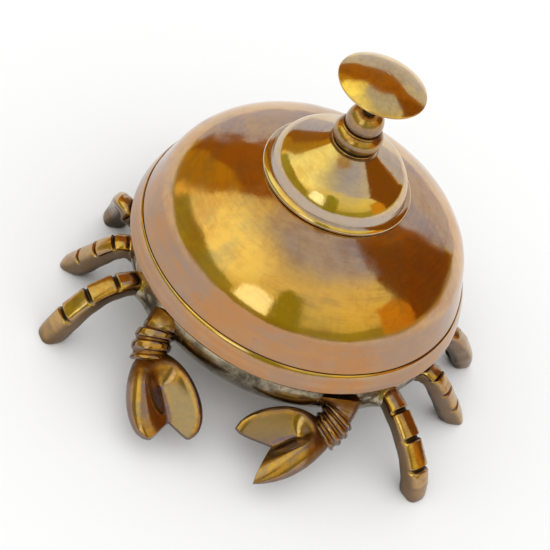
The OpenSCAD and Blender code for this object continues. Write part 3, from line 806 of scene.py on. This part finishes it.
def pincer(key):
    """Two fingers in one casting, open towards their tips: the outer one ridged, the inner one scooped."""
    claw = CLAWS[key]
    side = claw["side"]
    rows = 90
    cols = 96
    place = Matrix.Translation(claw["path"][2])
    place = place @ Matrix.Rotation(math.radians(-90 - side * claw["heading"]), 4, "Z")
    place = place @ Matrix.Rotation(math.radians(claw["pitch"]), 4, "Y")
    place = place @ Matrix.Rotation(math.radians(-side * claw["roll"]), 4, "X")

    def at(s, t, z):
        """The point s of the way along the pincer, t across it and z above its middle."""
        finger = "inner" if t < 0 else "outer"
        edge = bezier([(0, heel_half, 0)] + [(*p, 0) for p in claw[finger]], s)
        valley = claw["notch"] * s
        round_tip = claw[finger + "_round"]
        lean = (1 - 0.6 * round_tip) * abs(t) ** 0.85 + 0.6 * round_tip * smooth(0, 0.8, abs(t))
        along = valley + (edge.x - valley) * lean - 0.9 * (1 - t * t) * smooth(0.12, 0, s)
        along -= 1.1 * round_tip * (smooth(0.7, 1, abs(t)) * smooth(0.8, 1, s)) ** 2
        return place @ Vector((along, side * t * edge.y, z))

    rings = []
    grime_shade = []
    for i in range(rows + 1):
        s = i / rows
        blend = smooth(0.15, 0.48, s)
        thick = 0.7 + 4.1 * (1 - s ** 2.8) * (1 - 0.4 * smooth(0.3, 0, s))
        ridge = claw["crest"] + 0.3 * s * s
        rim = 0.74 + 0.16 * s * s
        top = []
        low = []
        for j in range(cols + 1):
            t = -math.cos(math.pi * j / cols)
            pillow = math.sqrt(max(0, 1 - abs(t) ** 3))
            part = pillow * (1 - blend) + finger_smooth(t, ridge, rim) * blend
            z = 0.3 + thick * part
            # Darker along the valley and amber-dark towards the heel; painted shade on the inner finger's
            # outer wall and on the underside; the scoop is painted grey as the pale reflection in it.
            groove = 0.8 * blend * smooth(0.3, 0, abs(t)) * (1 - 0.5 * s)
            scoop = 0.72 * blend * smooth(0.05, -0.12, t) * smooth(-rim, -rim + 0.12, t)
            heel = 0.72 * smooth(0.52, 0.34, s)
            wall = 0.7 * smooth(-rim - 0.02, -rim - 0.12, t)
            top.append((at(s, t, z), max(groove, heel, wall) - scoop))
            z = -0.3 - (0.5 + 2.9 * (1 - s * s)) * math.sqrt(max(0, 1 - t * t))
            low.append((at(s, t, z), 0.35))
        ring = top + low[::-1]
        rings.append([p for p, w in ring])
        grime_shade += [w for p, w in ring]
    points, faces = sweep(rings, forked=True)
    node = "pincer_" + key
    put(node + "_casting", points, faces, [node], "base", claw_brass, sharp=50, grime_shade=grime_shade)


def crab_shell():
    """Cast dish with a web of metal in the corner between each claw and the leg beside it."""
    outer = [(0, belly_z), (shell_r - 22, belly_z), (shell_r - 14, belly_z + 0.4)]
    outer += arc(shell_r - 9, bulge_z, 9, 8.2, -72, 12, 30) + [(shell_r - 0.6, rim_z)]
    inner = [(shell_r - 3.2, rim_z)] + arc(shell_r - 9, bulge_z, 6.2, 5.4, 0, -72, 16)
    inner += [(shell_r - 16, floor_z), (0, floor_z)]
    points, faces, _ = lathe(outer + inner, 200)
    count = 24
    for leg_angle, arm_angle in ((-53.5, -35.4), (48.5, 29.4)):
        rings = []
        for i in range(count + 1):
            part = i / count
            angle = math.radians(leg_angle + (arm_angle - leg_angle) * part)
            out = Vector((math.sin(angle), -math.cos(angle), 0))
            reach = 2 + 3.4 * abs(2 * part - 1) ** 2.4
            middle = out * (shell_r - 1.6) + Vector((0, 0, 16.5 - 1.2 * part))
            rings.append(round_section(middle, out, reach, 3.1, count))
        more, quads = sweep(rings)
        faces += [[k + len(points) for k in f] for f in quads]
        points += more
    return put("shell_casting", points, faces, ["crab_shell"], "base", shell_brass, sharp=60)


def melt(obj, voxel, rounds):
    """Joins a piece's overlapping solids into one skin and softens its corners."""
    remesh = obj.modifiers.new("remesh", "REMESH")
    remesh.mode = "VOXEL"
    remesh.voxel_size = voxel * MM
    remesh.use_smooth_shade = True
    soften = obj.modifiers.new("soften", "SMOOTH")
    soften.factor = 0.5
    soften.iterations = rounds
    graph = bpy.context.evaluated_depsgraph_get()
    done = bpy.data.meshes.new_from_object(obj.evaluated_get(graph))
    obj.modifiers.clear()
    obj.data = done
    done.name = obj.name


# ---- stage ----


def set_down(name, points, faces, material):
    """Makes a part of the stage, in metres, which isn't part of the object."""
    mesh = bpy.data.meshes.new(name)
    mesh.from_pydata(points, [], faces)
    mesh.materials.append(material)
    obj = bpy.data.objects.new(name, mesh)
    bpy.context.collection.objects.link(obj)
    return obj


def glow(name, colour):
    """A material that only shines."""
    material = bpy.data.materials.new(name)
    material.use_nodes = True
    tree = material.node_tree
    tree.nodes.clear()
    light = tree.nodes.new("ShaderNodeEmission")
    light.inputs[0].default_value = (*colour, 1)
    tree.links.new(light.outputs[0], tree.nodes.new("ShaderNodeOutputMaterial").inputs[0])
    return material


def direction(turn, rise):
    """The way to a place in the studio: degrees round from the front, and above the horizon."""
    turn = math.radians(turn)
    rise = math.radians(rise)
    return Vector((math.sin(turn) * math.cos(rise), -math.cos(turn) * math.cos(rise), math.sin(rise)))


def card(name, stations, colour, distance=1.6):
    """A studio card that only reflections see.

    Each station is an angle round from the front and the card's low and high edges above the
    horizon there, in degrees."""
    middle = Vector((axis_x, axis_y, lip_z + 12)) * MM
    points = []
    for (left, low, high), (right, low_next, high_next) in zip(stations, stations[1:]):
        for k in range(6):
            part = k / 5
            turn = left + (right - left) * part
            for rise in (low + (low_next - low) * part, high + (high_next - high) * part):
                points.append(middle + distance * direction(turn, rise))
    faces = [[2 * k, 2 * k + 2, 2 * k + 3, 2 * k + 1] for k in range(len(points) // 2 - 1)]
    obj = set_down(name, points, faces, glow(name, colour))
    obj.visible_camera = False
    obj.visible_diffuse = False
    obj.visible_shadow = False


def floor():
    """Plain pale floor."""
    material = bpy.data.materials.new("floor")
    material.use_nodes = True
    shader = material.node_tree.nodes["Principled BSDF"]
    shader.inputs["Base Color"].default_value = (0.9, 0.9, 0.9, 1)
    shader.inputs["Roughness"].default_value = 0.9
    shader.inputs["Specular IOR Level"].default_value = 0.1
    half = 3.0
    corner_points = [(-half, -half, 0), (half, -half, 0), (half, half, 0), (-half, half, 0)]
    set_down("floor", corner_points, [[0, 1, 2, 3]], material)


# The room that reflections see: the sine of the height above the horizon, and the colour there.
SKY = [
    (0.0, (0.6, 0.5, 0.1)),
    (0.34, (0.9, 0.8, 0.18)),
    (0.64, (1.1, 0.98, 0.28)),
    (0.87, (1.02, 0.94, 0.4)),
    (1.0, (0.75, 0.76, 0.55)),
]
# Soft lamps in it: degrees round from the front, degrees up, the cosines of the angles from the
# lamp's middle where its light starts and where it is full, and its colour.
LAMPS = [
    (-75, 45, 0.75, 0.97, (1.5, 1.5, 0.6)),
    (130, 73, 0.86, 0.98, (0.6, 0.66, 0.88)),
]
DAYLIGHT = (1.14, 1.14, 1.14)


def sky_ramp(tree, height):
    """The colours of SKY as a node, looked up by height."""
    ramp = tree.nodes.new("ShaderNodeValToRGB")
    tree.links.new(height, ramp.inputs[0])
    ends = ramp.color_ramp.elements
    for stop, (place, colour) in zip(ends, (SKY[0], SKY[-1])):
        stop.position = place
        stop.color = (*colour, 1)
    for place, colour in SKY[1:-1]:
        ends.new(place).color = (*colour, 1)
    return ramp.outputs[0]


def add_lamp(tree, way, colour, turn, rise, edge, heart, tint):
    """Colour with a lamp's soft glow mixed into it, where way points near the lamp."""
    near = tree.nodes.new("ShaderNodeVectorMath")
    near.operation = "DOT_PRODUCT"
    tree.links.new(way, near.inputs[0])
    near.inputs[1].default_value = direction(turn, rise)
    fade = tree.nodes.new("ShaderNodeMapRange")
    fade.interpolation_type = "SMOOTHSTEP"
    tree.links.new(near.outputs["Value"], fade.inputs[0])
    fade.inputs[1].default_value = edge
    fade.inputs[2].default_value = heart
    lamp = tree.nodes.new("ShaderNodeMix")
    lamp.data_type = "RGBA"
    tree.links.new(fade.outputs[0], lamp.inputs[0])
    tree.links.new(colour, lamp.inputs[6])
    lamp.inputs[7].default_value = (*tint, 1)
    return lamp.outputs[2]


def world():
    """Soft white light everywhere, with a warm room in the reflections."""
    sky = bpy.data.worlds.new("studio")
    bpy.context.scene.world = sky
    sky.use_nodes = True
    tree = sky.node_tree
    back = tree.nodes["Background"]
    way = tree.nodes.new("ShaderNodeTexCoord").outputs["Generated"]
    split = tree.nodes.new("ShaderNodeSeparateXYZ")
    tree.links.new(way, split.inputs[0])
    room = sky_ramp(tree, split.outputs[2])
    for lamp in LAMPS:
        room = add_lamp(tree, way, room, *lamp)
    kind = tree.nodes.new("ShaderNodeLightPath")
    mix = tree.nodes.new("ShaderNodeMix")
    mix.data_type = "RGBA"
    tree.links.new(kind.outputs["Is Glossy Ray"], mix.inputs[0])
    mix.inputs[6].default_value = (*DAYLIGHT, 1)
    tree.links.new(room, mix.inputs[7])
    tree.links.new(mix.outputs[2], back.inputs[0])
    back.inputs[1].default_value = 1.0


def studio():
    """Floor, light, and the plain shapes of a room that the brass reflects."""
    floor()
    world()
    card("backdrop", [(135, -2, 14), (138, -2, 30), (143, -2, 41), (157, -2, 41), (176, -2, 38),
                      (196, -2, 36), (204, -2, 33), (209, -2, 26), (214, -2, 12), (219, -2, 0)],
         (0.7, 0.74, 0.95))
    card("back_wall", [(98, 36, 44), (105, 44, 51), (114, 34, 58), (134, 14, 62), (138, 28, 62),
                       (143, 39, 62), (157, 39, 68), (176, 34, 74), (196, 24, 72), (208, 18, 66),
                       (222, 8, 58), (234, 36, 54)],
         (0.42, 0.17, 0.012), distance=1.65)
    card("flag_left", [(-146, 6, 57), (-134, 2, 54)], (0.4, 0.16, 0.01))
    card("curtain_left", [(-134, 2, 54), (-112, 3, 40)], (0.62, 0.34, 0.012))
    card("flag_right", [(92, 5, 52), (112, 4, 60), (134, 2, 62)], (0.28, 0.105, 0.006))
    card("doorway", [(-113, 3, 24), (-108, 3, 26)], (1.5, 1.1, 0.2), distance=1.55)
    card("wood", [(70, 4, 36), (92, 4, 38)], (0.85, 0.42, 0.02))
    card("shelf_left", [(-112, 0, 20), (-93, 0, 26), (-78, 0, 31), (-34, 0, 20)], (0.5, 0.46, 0.05))
    card("shelf_front", [(-34, 0, 10), (-7, 0, 9), (14, 0, 12), (70, 0, 18)], (0.5, 0.46, 0.05),
         distance=1.7)
    card("window", [(-30, 9, 34), (-22, 9, 42), (-14, 9, 42), (-8, 9, 36)], (1.8, 2.0, 1.3))
    card("stand", [(-7, -12, 50), (2, -12, 56), (14, -12, 50)], (0.42, 0.4, 0.02), distance=1.2)


def camera():
    """The camera's height, side and roll give the photograph's three-quarter view from above."""
    roll = math.radians(25.94)
    eye = Vector((axis_x - 27.5, axis_y - 285.7, lip_z + 274.7)) * MM
    aim = Vector((axis_x - 3.8, axis_y - 6.1, lip_z - 6.1)) * MM
    lens = bpy.data.cameras.new("camera")
    lens.lens = 98.6
    lens.sensor_width = 36
    lens.clip_start = 0.01
    obj = bpy.data.objects.new("camera", lens)
    bpy.context.collection.objects.link(obj)
    look = (aim - eye).to_track_quat("-Z", "Y").to_matrix().to_4x4()
    obj.matrix_world = Matrix.Translation(eye) @ look @ Matrix.Rotation(roll, 4, "Z")
    bpy.context.scene.camera = obj


# ---- put together ----

bell_dome()
crown_cap()
finial_collar()
knob()
plunger_rod()
plunger_spring()
for leg_name, leg_spec in LEGS.items():
    leg(leg_name, leg_spec)
for claw_key in CLAWS:
    claw_arm(claw_key)
    pincer(claw_key)
melt(crab_shell(), voxel=0.45, rounds=6)

FINISHES = {
    "plunger_clip": plain_steel, "dome_nut": turned_brass, "upper_washer": fibre_sheet,
    "lower_washer": fibre_sheet, "centre_post": turned_brass, "bridge": plain_steel,
    "post_nut": turned_brass, "bridge_screws": turned_brass, "bridge_nuts": turned_brass,
    "striker_arm": plain_steel, "striker_pin": plain_steel, "pin_clips": plain_steel,
    "hammer_head": turned_brass,
}
for node_name, finish in FINISHES.items():
    for place in frame["nodes"][node_name].material_slots:
        place.material = finish

studio()
camera()
bpy.context.scene.view_settings.view_transform = "Standard"
